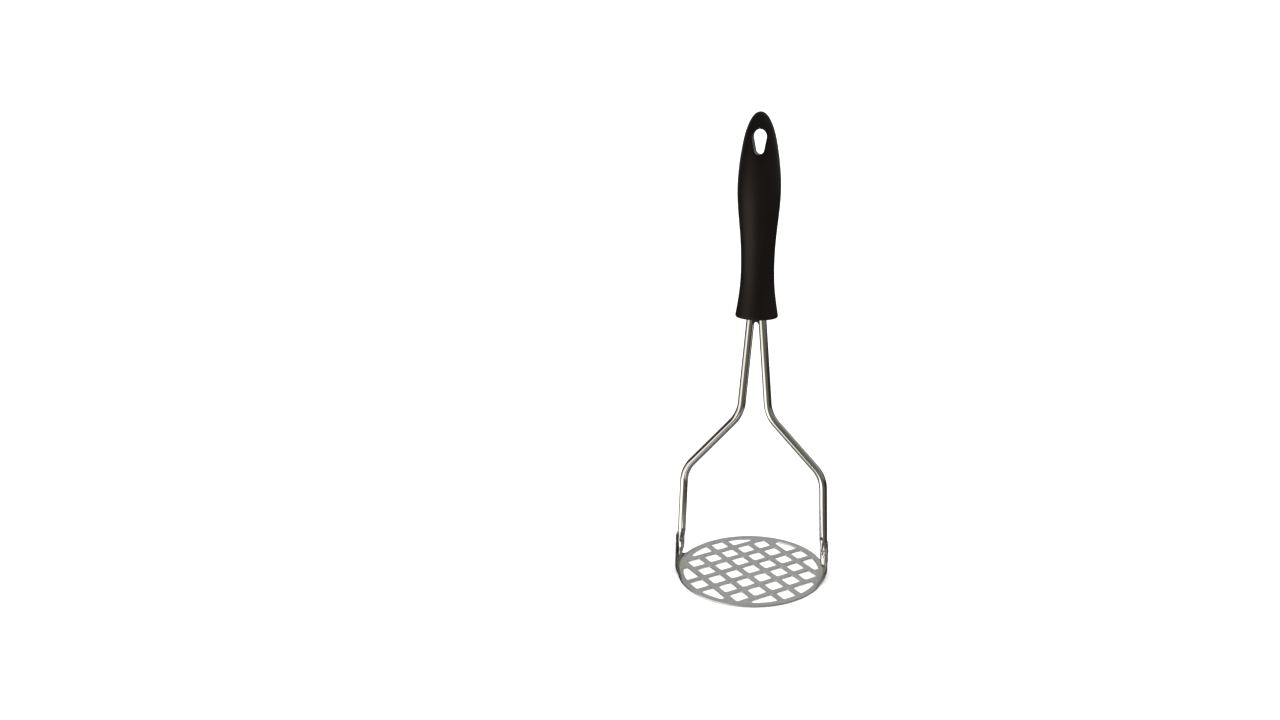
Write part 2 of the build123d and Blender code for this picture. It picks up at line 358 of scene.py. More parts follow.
MATERIALS = {
    "grip_plastic": grip_plastic(),
    "core_plastic": core_plastic(),
    "rod_steel": rod_steel(),
    "plate_steel": plate_steel(),
    "weld_steel": weld_steel(),
}


def dress_cad_nodes():
    """Gives every CAD node the material of its slot."""
    for entry in frame["record"]["subparts"]:
        piece = frame["nodes"][entry["node"]]
        material = MATERIALS[entry["material_slot"]]
        for slot in piece.material_slots:
            slot.material = material


dress_cad_nodes()


# ---------------------------------------------------------------- mesh helpers
def piece_from(name, vertices, faces, slot, uvs):
    """Smooth-shaded mesh object in metres from points in millimetres, with its own UVs."""
    mesh = bpy.data.meshes.new(name)
    mesh.from_pydata([tuple(v) for v in np.asarray(vertices) * METRES_PER_MM], [], faces)
    mesh.validate()
    layer = mesh.uv_layers.new(name=SWEPT_UV)
    for polygon, corner_uvs in zip(mesh.polygons, uvs):
        for loop, corner in zip(polygon.loop_indices, corner_uvs):
            layer.data[loop].uv = corner
    mesh.shade_smooth()
    mesh.materials.append(MATERIALS[slot])
    piece = bpy.data.objects.new(name, mesh)
    bpy.context.scene.collection.objects.link(piece)
    return piece


def smooth_step(value):
    """0 below 0, 1 above 1, with level ends."""
    value = np.clip(value, 0.0, 1.0)
    return value * value * (3.0 - 2.0 * value)


def arc(centre, radius, start_deg, end_deg, pieces):
    """Points along an arc, both ends included."""
    angles = np.radians(np.linspace(start_deg, end_deg, pieces + 1))
    return [(centre[0] + radius * math.cos(a), centre[1] + radius * math.sin(a)) for a in angles]


# ---------------------------------------------------------------- rods
# Corners of the centre line as (out, up), from the top of the pressed foot to inside the grip.
ROD_CORNERS_MM = ((40.7, 22.5), (39.1, 59.7), (7.7, 94.3), (2.45, 156.9))
ROD_BEND_RADII_MM = (19.0, 19.7, 40.0)
ROD_RADIUS_MM = 2.25
ROD_SIDES = 64
STRAIGHT_STEP_MM = 2.0
BEND_PIECES = 28
# Texture distance per side. The side itself is narrower, which draws the lines finer.
UV_STEP_MM = 0.3

# The foot: a pressed flat that thins and narrows towards its rounded end.
FOOT_OUT_MM, FOOT_TOP_MM = ROD_CORNERS_MM[0]
FOOT_STEP_MM = 0.25
FLAT_TOP_MM = 16.5
FLAT_FULL_FROM_MM = 13.0
FLAT_THICKNESS_MM = 3.5
FLAT_TIP_THICKNESS_MM = {LEFT: 1.9, RIGHT: 3.0}
FLAT_HALF_WIDTH_MM = 3.6
FLAT_END_MM = 2.6
END_THINNEST = 0.55
END_THINS_OVER = 0.4
END_NARROWEST = 0.35
ROUND_SQUARENESS = 2.0
FLAT_SQUARENESS = 2.6
LUG_INNER_MM = LUG_OUTER_MM - SHEET_MM
LUG_GAP_MM = 0.01

# Marks of the press on the foot's front: a groove along it, and crimps across it, each as
# (height, reach up and down, depth, slant).
GROOVE_HALF_MM = 0.6
GROOVE_DEPTH_MM = {LEFT: 0.0, RIGHT: 0.45}
GROOVE_OFF_CENTRE = 0.1
CRIMPS_MM = ((16.8, 0.6, 0.26, 0.3), (13.6, 0.7, 0.20, -0.5))
CRIMP_PUSH_BACK = 0.7


def bent_line(corners, radii):
    """Points and unit directions along a line with an arc at each inner corner."""
    corners = [np.array(c, float) for c in corners]
    points, directions = [], []

    def straight(start, end):
        length = np.linalg.norm(end - start)
        direction = (end - start) / length
        for k in range(int(length / STRAIGHT_STEP_MM) + 1):
            points.append(start + direction * k * STRAIGHT_STEP_MM)
            directions.append(direction)

    start = corners[0]
    for i, radius in enumerate(radii, 1):
        into = corners[i] - corners[i - 1]
        out_of = corners[i + 1] - corners[i]
        into /= np.linalg.norm(into)
        out_of /= np.linalg.norm(out_of)
        turn = math.acos(float(np.clip(into @ out_of, -1, 1)))
        reach = radius * math.tan(turn / 2)
        arc_start = corners[i] - into * reach
        straight(start, arc_start)
        side = out_of - into * (into @ out_of)
        side /= np.linalg.norm(side)
        centre = arc_start + side * radius
        for k in range(BEND_PIECES):
            angle = turn * k / BEND_PIECES
            points.append(centre - side * radius * math.cos(angle) + into * radius * math.sin(angle))
            directions.append(into * math.cos(angle) + side * math.sin(angle))
        start = corners[i] + out_of * reach
    straight(start, corners[-1])
    return points, directions


def foot_section(height, side):
    """Section of the pressed foot at a height, in the form that rod_sections lists."""
    flat = 1.0 - smooth_step((height - FLAT_TOP_MM) / (FOOT_TOP_MM - FLAT_TOP_MM))
    full = smooth_step((height - ROD_BOTTOM_MM) / (FLAT_FULL_FROM_MM - ROD_BOTTOM_MM))
    end = min(1.0, (height - ROD_BOTTOM_MM) / FLAT_END_MM)
    tip = math.sqrt(max(0.0, 1.0 - (1.0 - end) ** 2))
    pressed = blend(FLAT_TIP_THICKNESS_MM[side], FLAT_THICKNESS_MM, full)
    inner = blend(FOOT_OUT_MM - ROD_RADIUS_MM, LUG_INNER_MM - pressed, flat)
    outer = FOOT_OUT_MM + ROD_RADIUS_MM
    half_thickness = (outer - inner) / 2 * blend(END_THINNEST, 1.0, min(1.0, end / END_THINS_OVER))
    half_width = blend(ROD_RADIUS_MM, FLAT_HALF_WIDTH_MM, flat) * blend(END_NARROWEST, 1.0, tip)
    squareness = blend(ROUND_SQUARENESS, FLAT_SQUARENESS, flat)
    return ((outer + inner) / 2, height), (0.0, 1.0), half_thickness, half_width, squareness


def rod_sections(side):
    """Centre, direction, half thickness, half width and squareness of the rod's sections."""
    heights = np.arange(ROD_BOTTOM_MM, FOOT_TOP_MM, FOOT_STEP_MM)
    sections = [foot_section(height, side) for height in heights]
    corners = (*ROD_CORNERS_MM, (ROD_CORNERS_MM[-1][0], ROD_TOP_MM))
    for point, direction in zip(*bent_line(corners, ROD_BEND_RADII_MM)):
        sections.append((point, direction, ROD_RADIUS_MM, ROD_RADIUS_MM, ROUND_SQUARENESS))
    return sections


def rounded(value, power):
    """Signed power of a cosine or sine, for a superellipse."""
    return math.copysign(abs(value) ** power, value)


def rod_point(section, angle, side):
    """Surface point at an angle round a section, with the foot's marks and clear of the lug."""
    centre, direction, thick, wide, squareness = section
    out = thick * rounded(math.cos(angle), 2 / squareness)
    y = wide * rounded(math.sin(angle), 2 / squareness)
    x = centre[0] + direction[1] * out
    z = centre[1] - direction[0] * out
    if z < FOOT_TOP_MM and y < 0:
        off_middle = (out + GROOVE_OFF_CENTRE * thick) / GROOVE_HALF_MM
        pressed = smooth_step((FOOT_TOP_MM - z) / (FOOT_TOP_MM - FLAT_TOP_MM))
        y += GROOVE_DEPTH_MM[side] * pressed * math.exp(-off_middle * off_middle)
    for level, reach, depth, slant in CRIMPS_MM:
        away = (z - level - side * slant * y) / reach
        dent = depth * math.exp(-away * away) * max(0.0, -math.sin(angle + side * slant))
        x += dent
        y += CRIMP_PUSH_BACK * dent
    if z < LUG_TOP_MM:
        x = min(x, math.sqrt(LUG_INNER_MM**2 - y * y) - LUG_GAP_MM)
    return side * x, y, z


def tube_faces(stations, side):
    """Outward faces between sections at these distances along, and their (around, along) UVs."""
    order = (0, 3, 2, 1) if side == LEFT else (0, 1, 2, 3)
    faces, uvs = [], []
    for i in range(len(stations) - 1):
        for k in range(ROD_SIDES):
            a, b = i * ROD_SIDES + k, i * ROD_SIDES + (k + 1) % ROD_SIDES
            corners = (a, b, b + ROD_SIDES, a + ROD_SIDES)
            around = (k, k + 1, k + 1, k)
            along = (stations[i], stations[i], stations[i + 1], stations[i + 1])
            faces.append(tuple(corners[j] for j in order))
            uvs.append([(mm(around[j] * UV_STEP_MM), mm(along[j])) for j in order])
    return faces, uvs


def make_rod(node, side):
    """One rod, swept along its bent centre line."""
    sections = rod_sections(side)
    angles = [2 * math.pi * k / ROD_SIDES for k in range(ROD_SIDES)]
    vertices = [rod_point(section, angle, side) for section in sections for angle in angles]
    stations = [0.0]
    for before, section in zip(sections, sections[1:]):
        stations.append(stations[-1] + math.dist(section[0], before[0]))
    faces, uvs = tube_faces(stations, side)
    first = range(ROD_SIDES)
    last = range(len(vertices) - ROD_SIDES, len(vertices))
    faces.append(tuple(first if side == LEFT else reversed(first)))
    faces.append(tuple(reversed(last) if side == LEFT else last))
    uvs += [[(0.0, 0.0)] * ROD_SIDES] * 2
    piece = piece_from(f"{node}_polished", vertices, faces, "rod_steel", uvs)
    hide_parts(node)
    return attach(piece, BODY)


make_rod("left_rod", LEFT)
make_rod("right_rod", RIGHT)


# ---------------------------------------------------------------- masher plate
EDGE_ROUNDING_MM = 0.14
EDGE_ROUNDING_STEPS = 2
CORNER_PIECES = 6
RIM_PIECES = 140
MERGE_MM = 1e-3
ON_CUT_MM = 1e-4

# The lugs, bent up out of the sheet.
LUG_FOOT_HALF_MM = 6.0
LUG_TOP_HALF_MM = 4.0
LUG_FLARE_MM = 9.0
LUG_FLARE_PIECES = 10
LUG_CORNER_MM = 3.2
LUG_CORNER_PIECES = 12
LUG_CURVE_MM = LUG_OUTER_MM - SHEET_MM / 2
BEND_RADIUS_MM = 3.3
BEND_START_MM = LUG_CURVE_MM - BEND_RADIUS_MM
LUG_HEIGHT_MM = LUG_TOP_MM - SHEET_MM / 2 - BEND_RADIUS_MM
LUG_REACH_MM = BEND_START_MM + BEND_RADIUS_MM * math.pi / 2 + LUG_HEIGHT_MM - PLATE_RADIUS_MM

# The rolled rim: the bend goes on round the rim from the lug's middle, then fades out.
BEND_FULL_TO_MM = 14.0
BEND_FADES_BY_MM = {LEFT: 34.0, RIGHT: 25.0}
BEND_FADED_START_MM = PLATE_RADIUS_MM + 0.1

# The openings.
HOLE_PITCH_MM = 11.5
HOLE_HALF_MM = 4.3
HOLE_CORNER_MM = 0.9
FIELD_RADIUS_MM = 39.1
EDGE_HOLE_REACH_MM = 20.8
EDGE_CORNER_MM = 0.75
GRID_ANGLE_DEG = 40.0

# Cuts that let the sheet bend: rows across it, and columns that are finest at the bend.
CUT_ROWS_MM = np.arange(-34.5, 34.6, 1.5)
CUT_COLUMNS_MM = (*np.arange(26.0, 46.0, 0.5), *np.arange(46.0, 62.0, 1.5))


def degrees_of(point):
    """Direction of a point from the origin."""
    return math.degrees(math.atan2(point[1], point[0]))


def square_hole():
    """Rounded square opening about the origin."""
    inner = HOLE_HALF_MM - HOLE_CORNER_MM
    points = []
    corners = ((inner, inner), (-inner, inner), (-inner, -inner), (inner, -inner))
    for quarter, (x, y) in enumerate(corners):
        points += arc((x, y), HOLE_CORNER_MM, 90 * quarter, 90 * quarter + 90, CORNER_PIECES)
    return points


def edge_hole():
    """Opening beside the rim: three straight sides and one along the field's circle."""
    left = HOLE_PITCH_MM - HOLE_HALF_MM
    low = 3 * HOLE_PITCH_MM - HOLE_HALF_MM
    right = EDGE_HOLE_REACH_MM
    small = EDGE_CORNER_MM
    inside = FIELD_RADIUS_MM - small
    top_right = (right - small, math.sqrt(inside**2 - (right - small) ** 2))
    top_left = (left + small, math.sqrt(inside**2 - (left + small) ** 2))
    points = arc((left + small, low + small), small, 180, 270, CORNER_PIECES)
    points += arc((right - small, low + small), small, 270, 360, CORNER_PIECES)
    right_end, left_end = degrees_of(top_right), degrees_of(top_left)
    points += arc(top_right, small, 0, right_end, CORNER_PIECES)
    points += arc((0, 0), FIELD_RADIUS_MM, right_end, left_end, 2 * CORNER_PIECES)[1:-1]
    points += arc(top_left, small, left_end, 180, CORNER_PIECES)
    return points


def turned(points, angle_deg, flip=False):
    """Points turned about the origin, mirrored first if asked."""
    c, s = math.cos(math.radians(angle_deg)), math.sin(math.radians(angle_deg))
    if flip:
        points = [(-x, y) for x, y in reversed(points)]
    return [(x * c - y * s, x * s + y * c) for x, y in points]


def all_holes():
    """Outlines of the plate's 37 openings."""
    square = square_hole()
    cut_short = edge_hole()
    spots = [(i, j) for i in range(-2, 3) for j in range(-2, 3)]
    spots += [(3, 0), (0, 3), (-3, 0), (0, -3)]
    holes = [
        turned([(x + i * HOLE_PITCH_MM, y + j * HOLE_PITCH_MM) for x, y in square], GRID_ANGLE_DEG)
        for i, j in spots
    ]
    for quarter in range(4):
        for flip in (False, True):
            holes.append(turned(cut_short, GRID_ANGLE_DEG + 90 * quarter, flip))
    return holes


def lug_half_outline():
    """(half width, reach past the rim) points from the rim up to the middle of the lug's top."""
    foot = LUG_FOOT_HALF_MM
    flare_centre = (foot + LUG_FLARE_MM, LUG_FLARE_MM)
    points = arc(flare_centre, LUG_FLARE_MM, 270, 180, LUG_FLARE_PIECES)
    corner = (LUG_TOP_HALF_MM - LUG_CORNER_MM, LUG_REACH_MM - LUG_CORNER_MM)
    points += arc(corner, LUG_CORNER_MM, 0, 90, LUG_CORNER_PIECES)
    return points


def plate_outline():
    """Flat blank: the round plate with both lugs unrolled outward."""
    half = lug_half_outline()
    lug = [(-w, u) for w, u in half] + list(reversed(half))
    rim_start = half[0][0] / LUG_CURVE_MM
    points = []
    for turn in (0.0, math.pi):
        for w, u in lug:
            angle = turn + w / LUG_CURVE_MM
            radius = PLATE_RADIUS_MM + u
            points.append((radius * math.cos(angle), radius * math.sin(angle)))
        for angle in np.linspace(turn + rim_start, turn + math.pi - rim_start, RIM_PIECES)[1:-1]:
            points.append((PLATE_RADIUS_MM * math.cos(angle), PLATE_RADIUS_MM * math.sin(angle)))
    return points


def sheet_mesh(outlines):
    """Flat sheet with rounded edges from closed outlines, in millimetres, about z = 0."""
    curve = bpy.data.curves.new("blank", "CURVE")
    curve.dimensions = "2D"
    curve.fill_mode = "BOTH"
    curve.extrude = SHEET_MM / 2 - EDGE_ROUNDING_MM
    curve.bevel_depth = EDGE_ROUNDING_MM
    curve.bevel_resolution = EDGE_ROUNDING_STEPS
    curve.offset = -EDGE_ROUNDING_MM
    for outline in outlines:
        spline = curve.splines.new("POLY")
        spline.points.add(len(outline) - 1)
        for point, (x, y) in zip(spline.points, outline):
            point.co = (x, y, 0.0, 1.0)
        spline.use_cyclic_u = True
    blank = bpy.data.objects.new("blank", curve)
    bpy.context.scene.collection.objects.link(blank)
    bpy.context.view_layer.update()
    mesh = bpy.data.meshes.new_from_object(blank.evaluated_get(bpy.context.evaluated_depsgraph_get()))
    bpy.data.objects.remove(blank)
    bpy.data.curves.remove(curve)
    return mesh


def cut_finely(shape):
    """Adds the cuts that let the sheet bend at both lugs."""
    cuts = [((0, y, 0), (0, 1, 0)) for y in CUT_ROWS_MM]
    cuts += [((side * x, 0, 0), (1, 0, 0)) for side in (LEFT, RIGHT) for x in CUT_COLUMNS_MM]
    for place, normal in cuts:
        geometry = [*shape.verts, *shape.edges, *shape.faces]
        bmesh.ops.bisect_plane(shape, geom=geometry, plane_co=place, plane_no=normal, dist=ON_CUT_MM)


def bend_lugs(points):
    """Rolls the sheet up past the bend line, which moves out to the rim beside each lug."""
    x, y, z = points.T
    radius = np.hypot(x, y)
    beside = np.arcsin(np.clip(np.abs(y) / radius, 0, 1)) * PLATE_RADIUS_MM
    fades_by = np.where(x < 0, BEND_FADES_BY_MM[LEFT], BEND_FADES_BY_MM[RIGHT])
    fade = smooth_step((beside - BEND_FULL_TO_MM) / (fades_by - BEND_FULL_TO_MM))
    start = BEND_START_MM + (BEND_FADED_START_MM - BEND_START_MM) * fade
    past = np.maximum(radius - start, 0.0)
    angle = np.minimum(past / BEND_RADIUS_MM, math.pi / 2)
    straight = np.maximum(past - BEND_RADIUS_MM * math.pi / 2, 0.0)
    level = z - SHEET_MM / 2
    new_radius = start + BEND_RADIUS_MM * np.sin(angle) - level * np.sin(angle)
    new_z = SHEET_MM / 2 + BEND_RADIUS_MM * (1 - np.cos(angle)) + straight + level * np.cos(angle)
    moved = past > 0
    scale = np.where(moved, new_radius / radius, 1.0)
    return np.column_stack((x * scale, y * scale, np.where(moved, new_z, z)))


def make_plate():
    """Stamped plate with punched openings, rounded edges and two lugs bent up in one sheet."""
    mesh = sheet_mesh([plate_outline(), *all_holes()])
    shape = bmesh.new()
    shape.from_mesh(mesh)
    bmesh.ops.translate(shape, verts=shape.verts, vec=(0, 0, SHEET_MM / 2))
    bmesh.ops.remove_doubles(shape, verts=shape.verts, dist=MERGE_MM)
    cut_finely(shape)
    bmesh.ops.remove_doubles(shape, verts=shape.verts, dist=MERGE_MM)
    bmesh.ops.dissolve_degenerate(shape, edges=shape.edges, dist=MERGE_MM)
    points = bend_lugs(np.array([v.co for v in shape.verts]))
    for vertex, point in zip(shape.verts, points):
        vertex.co = point * METRES_PER_MM
    bmesh.ops.recalc_face_normals(shape, faces=shape.faces)
    shape.to_mesh(mesh)
    shape.free()
    mesh.shade_smooth()
    mesh.materials.clear()
    mesh.materials.append(MATERIALS["plate_steel"])
    piece = bpy.data.objects.new("masher_plate_satin", mesh)
    bpy.context.scene.collection.objects.link(piece)
    piece.modifiers.new("flat faces stay flat", "WEIGHTED_NORMAL").mode = "FACE_AREA"
    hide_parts("masher_plate")
    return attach(piece, BODY)


make_plate()


# ---------------------------------------------------------------- grip
GRIP_BASE_ROUNDING_MM = 1.35
# The side as (half width, height), from the base's rounding up to the top.
GRIP_OUTLINE_MM = (
    (GRIP_HALF_WIDTH_MM, GRIP_BASE_MM + GRIP_BASE_ROUNDING_MM),
    (10.6, 156.0),
    (9.35, 165.7),
    (8.93, 178.6),
    (9.45, 191.0),
    (10.65, 203.6),
    (11.39, 216.0),
    (10.75, 228.0),
    (8.97, 240.0),
    (6.44, 249.0),
    (0.0, GRIP_TOP_MM),
)
GRIP_START_DIRECTION = (-0.17, 1.0)
GRIP_END_DIRECTION = (-1.0, 0.0)
GRIP_OUTLINE_SAMPLES = 360
GRIP_BASE_PIECES = 12
GRIP_BLANK_SIDES = 96
GRIP_VOXEL_MM = 0.45
DRAWING_ROUNDS = 4
SLOPE_STEP_MM = 0.01
FAR_MM = 1e9

# The hanging eye: a small circle below a larger one, joined by their tangents.
EYE_TOP_MM = 243.35
EYE_TOP_RADIUS_MM = 3.75
EYE_TOP_PIECES = 32
EYE_BOTTOM_MM = 237.1
EYE_BOTTOM_RADIUS_MM = 2.7
EYE_BOTTOM_PIECES = 20
EYE_EDGE_MM = 0.9


def clamped_spline(points, start_direction, end_direction, samples):
    """Smooth curve through points with given end directions, by distance along the chords."""
    points = np.array(points, float)
    knots = np.concatenate(([0.0], np.cumsum(np.hypot(*np.diff(points, axis=0).T))))
    count = len(points)
    steps = np.diff(knots)
    system = np.zeros((count, count))
    wanted = np.zeros((count, 2))
    system[0, 0] = system[-1, -1] = 1.0
    wanted[0] = np.array(start_direction) / np.linalg.norm(start_direction)
    wanted[-1] = np.array(end_direction) / np.linalg.norm(end_direction)
    for i in range(1, count - 1):
        before, after = steps[i - 1], steps[i]
        system[i, i - 1 : i + 2] = (1 / before, 2 / before + 2 / after, 1 / after)
        wanted[i] = 3 * (
            (points[i] - points[i - 1]) / before**2 + (points[i + 1] - points[i]) / after**2
        )
    slopes = np.linalg.solve(system, wanted)
    out = []
    for t in np.linspace(0, knots[-1], samples):
        i = min(np.searchsorted(knots, t, side="right") - 1, count - 2)
        h = steps[i]
        s = (t - knots[i]) / h
        out.append(
            (2 * s**3 - 3 * s**2 + 1) * points[i]
            + (s**3 - 2 * s**2 + s) * h * slopes[i]
            + (3 * s**2 - 2 * s**3) * points[i + 1]
            + (s**3 - s**2) * h * slopes[i + 1]
        )
    return np.array(out)


def grip_profile():
    """(half width, height) points from the base's middle out, up the side and to the top."""
    rounding = GRIP_BASE_ROUNDING_MM
    centre = (GRIP_HALF_WIDTH_MM - rounding, GRIP_BASE_MM + rounding)
    base = [(0.0, GRIP_BASE_MM), *arc(centre, rounding, 270, 360, GRIP_BASE_PIECES)]
    ends = (GRIP_START_DIRECTION, GRIP_END_DIRECTION)
    side = clamped_spline(GRIP_OUTLINE_MM, *ends, GRIP_OUTLINE_SAMPLES)
    return np.array([*base[:-1], *side])


PROFILE = grip_profile()


def distance_to_profile(reach, height):
    """Signed distance from the grip's half section, negative inside."""
    start, end = PROFILE[:-1], PROFILE[1:]
    span = end - start
    best = np.full(reach.shape, FAR_MM)
    sign = np.zeros(reach.shape)
    for (ax, az), (dx, dz) in zip(start, span):
        along = np.clip(((reach - ax) * dx + (height - az) * dz) / (dx * dx + dz * dz), 0, 1)
        off_x = reach - ax - along * dx
        off_z = height - az - along * dz
        gap = np.hypot(off_x, off_z)
        closer = gap < best
        best = np.where(closer, gap, best)
        sign = np.where(closer, np.sign(off_x * dz - off_z * dx), sign)
    return best * np.where(sign == 0, 1, sign)


def distance_to_eye(x, z):
    """Signed distance from the teardrop outline of the hanging eye, negative inside."""
    height = EYE_TOP_MM - EYE_BOTTOM_MM
    out, up = np.abs(x), z - EYE_BOTTOM_MM
    lean = (EYE_BOTTOM_RADIUS_MM - EYE_TOP_RADIUS_MM) / height
    upright = math.sqrt(1 - lean * lean)
    along_side = upright * up - lean * out
    low_end = np.hypot(out, up) - EYE_BOTTOM_RADIUS_MM
    high_end = np.hypot(out, up - height) - EYE_TOP_RADIUS_MM
    side = upright * out + lean * up - EYE_BOTTOM_RADIUS_MM
    above_low_end = np.where(along_side > upright * height, high_end, side)
    return np.where(along_side < 0, low_end, above_low_end)


def grip_field(points):
    """Zero on the grip's skin, with the eye's edges rounded."""
    x, y, z = points.T
    outside = distance_to_profile(np.hypot(x, y / GRIP_DEPTH_RATIO), z)
    in_eye = -distance_to_eye(x, z)
    r = EYE_EDGE_MM
    corner = np.hypot(np.maximum(outside + r, 0), np.maximum(in_eye + r, 0))
    return np.minimum(-r, np.maximum(outside, in_eye)) + corner


def field_slope(points):
    """Gradient of the grip's field."""
    shifts = SLOPE_STEP_MM * np.identity(3)
    rises = [grip_field(points + shift) - grip_field(points - shift) for shift in shifts]
    return np.array(rises).T / (2 * SLOPE_STEP_MM)


def lathe_mesh(name, profile, sides):
    """Closed surface of revolution about Z from (reach, height) points that start and end on it."""
    rings = profile[1:-1]
    vertices = [(0, 0, profile[0][1]), (0, 0, profile[-1][1])]
    for reach, height in rings:
        for k in range(sides):
            angle = 2 * math.pi * k / sides
            vertices.append((reach * math.cos(angle), reach * math.sin(angle) * GRIP_DEPTH_RATIO, height))
    faces = []
    last = 2 + (len(rings) - 1) * sides
    for k in range(sides):
        nxt = (k + 1) % sides
        faces.append((0, 2 + nxt, 2 + k))
        faces.append((1, last + k, last + nxt))
        for i in range(len(rings) - 1):
            a, b = 2 + i * sides + k, 2 + i * sides + nxt
            faces.append((a, b, b + sides, a + sides))
    mesh = bpy.data.meshes.new(name)
    mesh.from_pydata(vertices, [], faces)
    return mesh


def eye_cutter():
    """Prism of the hanging eye's outline."""
    tilt = math.degrees(
        math.asin((EYE_TOP_RADIUS_MM - EYE_BOTTOM_RADIUS_MM) / (EYE_TOP_MM - EYE_BOTTOM_MM))
    )
    outline = arc((0, EYE_TOP_MM), EYE_TOP_RADIUS_MM, -tilt, 180 + tilt, EYE_TOP_PIECES)
    low_end = (180 + tilt, 360 - tilt, EYE_BOTTOM_PIECES)
    outline += arc((0, EYE_BOTTOM_MM), EYE_BOTTOM_RADIUS_MM, *low_end)
    depth = 2 * GRIP_HALF_WIDTH_MM
    count = len(outline)
    vertices = [(x, -depth, z) for x, z in outline] + [(x, depth, z) for x, z in outline]
    faces = [(k, count + k, count + (k + 1) % count, (k + 1) % count) for k in range(count)]
    faces += [tuple(range(count)), tuple(reversed(range(count, 2 * count)))]
    mesh = bpy.data.meshes.new("eye_cutter")
    mesh.from_pydata(vertices, [], faces)
    return mesh


def make_grip():
    """Moulded grip: an even quad skin drawn onto the exact shape, eye edges rounded."""
    blank = lathe_mesh("grip_moulding", PROFILE[::2], GRIP_BLANK_SIDES)
    body = bpy.data.objects.new("grip_moulding", blank)
    cutter = bpy.data.objects.new("eye_cutter", eye_cutter())
    for piece in (body, cutter):
        bpy.context.scene.collection.objects.link(piece)
    cut = body.modifiers.new("eye", "BOOLEAN")
    cut.operation = "DIFFERENCE"
    cut.object = cutter
    cut.solver = "EXACT"
    skin = body.modifiers.new("skin", "REMESH")
    skin.mode = "VOXEL"
    skin.voxel_size = GRIP_VOXEL_MM
    bpy.context.view_layer.update()
    mesh = bpy.data.meshes.new_from_object(body.evaluated_get(bpy.context.evaluated_depsgraph_get()))
    bpy.data.objects.remove(cutter)
    body.modifiers.clear()
    body.data = mesh
    points = np.empty(len(mesh.vertices) * 3)
    mesh.vertices.foreach_get("co", points)
    points = points.reshape(-1, 3)
    for _ in range(DRAWING_ROUNDS):
        slope = field_slope(points)
        points -= slope * (grip_field(points) / np.maximum((slope**2).sum(1), 1e-6))[:, None]
    normals = field_slope(points)
    normals /= np.linalg.norm(normals, axis=1)[:, None]
    mesh.vertices.foreach_set("co", (points * METRES_PER_MM).ravel())
    mesh.shade_smooth()
    mesh.normals_split_custom_set_from_vertices([tuple(n) for n in normals])
    mesh.materials.clear()
    mesh.materials.append(MATERIALS["grip_plastic"])
    mesh.update()
    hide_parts("grip")
    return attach(body, BODY)


make_grip()


# ---------------------------------------------------------------- stage, lights and camera
FLOOR_HALF_WIDTH = 6.0
FLOOR_GAP = mm(0.05)


def make_floor():
    """Plain pale floor."""
    mesh = bpy.data.meshes.new("floor")
    half = FLOOR_HALF_WIDTH
    corners = [(-half, -half, 0), (half, -half, 0), (half, half, 0), (-half, half, 0)]
    mesh.from_pydata(corners, [], [(0, 1, 2, 3)])
    floor = bpy.data.objects.new("floor", mesh)
    bpy.context.scene.collection.objects.link(floor)
    material, _, shader = new_material("floor_white")
    shader.inputs["Base Color"].default_value = (0.86, 0.86, 0.86, 1.0)
    shader.inputs["Roughness"].default_value = 0.9
    shader.inputs["Specular IOR Level"].default_value = 0.1
    mesh.materials.append(material)
    floor.location.z = plate_low.z - FLOOR_GAP
    floor.visible_glossy = False


def make_light(name, place, target, size, watts):
    """Rectangular white softbox that faces target."""
    data = bpy.data.lights.new(name, "AREA")
    data.shape = "RECTANGLE"
    data.size, data.size_y = size
    data.energy = watts
    light = bpy.data.objects.new(name, data)
    bpy.context.scene.collection.objects.link(light)
    light.location = place
    direction = Vector(target) - Vector(place)
    light.rotation_euler = direction.to_track_quat("-Z", "Y").to_euler()


STUDIO_BRIGHTNESS = 1.75


def make_world():
    """Even white studio surround."""
    world = bpy.data.worlds.new("studio")
    world.use_nodes = True
    background = world.node_tree.nodes["Background"]
    background.inputs["Color"].default_value = (1.0, 1.0, 1.0, 1.0)
    background.inputs["Strength"].default_value = STUDIO_BRIGHTNESS
    bpy.context.scene.world = world


TENT_RADIUS = 0.9
TENT_LOW = -0.7
TENT_HIGH = 1.3
TENT_SIDES = 64

# Rings of studio cards, lowest first. A ring lists (azimuth in degrees, colour) from -180 to
# 180, and its colours run smoothly from one to the next.
BOTTOM_CARDS = (
    (-180, (0.30, 0.29, 0.28)),
    (-150, (0.55, 0.54, 0.51)),
    (-100, (0.46, 0.45, 0.42)),
    (-40, (0.22, 0.215, 0.20)),
    (30, (0.22, 0.215, 0.20)),
    (75, (0.07, 0.068, 0.062)),
    (150, (0.06, 0.058, 0.055)),
    (180, (0.30, 0.29, 0.28)),
)
SKIRT_CARDS = (
    (-180, (0.10, 0.10, 0.095)),
    (-168, (1.90, 1.90, 1.82)),
    (-114, (1.90, 1.90, 1.82)),
    (-102, (0.30, 0.30, 0.29)),
    (-60, (0.36, 0.36, 0.35)),
    (30, (0.34, 0.34, 0.33)),
    (75, (0.05, 0.05, 0.047)),
    (150, (0.05, 0.05, 0.047)),
    (180, (0.10, 0.10, 0.095)),
)
FOOT_CARDS = (
    (-180, (0.30, 0.30, 0.29)),
    (-168, (2.40, 2.40, 2.30)),
    (-112, (2.60, 2.60, 2.50)),
    (-74, (3.20, 3.20, 3.05)),
    (-60, (0.40, 0.395, 0.37)),
    (-30, (0.30, 0.295, 0.27)),
    (15, (0.20, 0.195, 0.17)),
    (60, (0.04, 0.038, 0.032)),
    (150, (0.10, 0.10, 0.095)),
    (180, (0.30, 0.30, 0.29)),
)
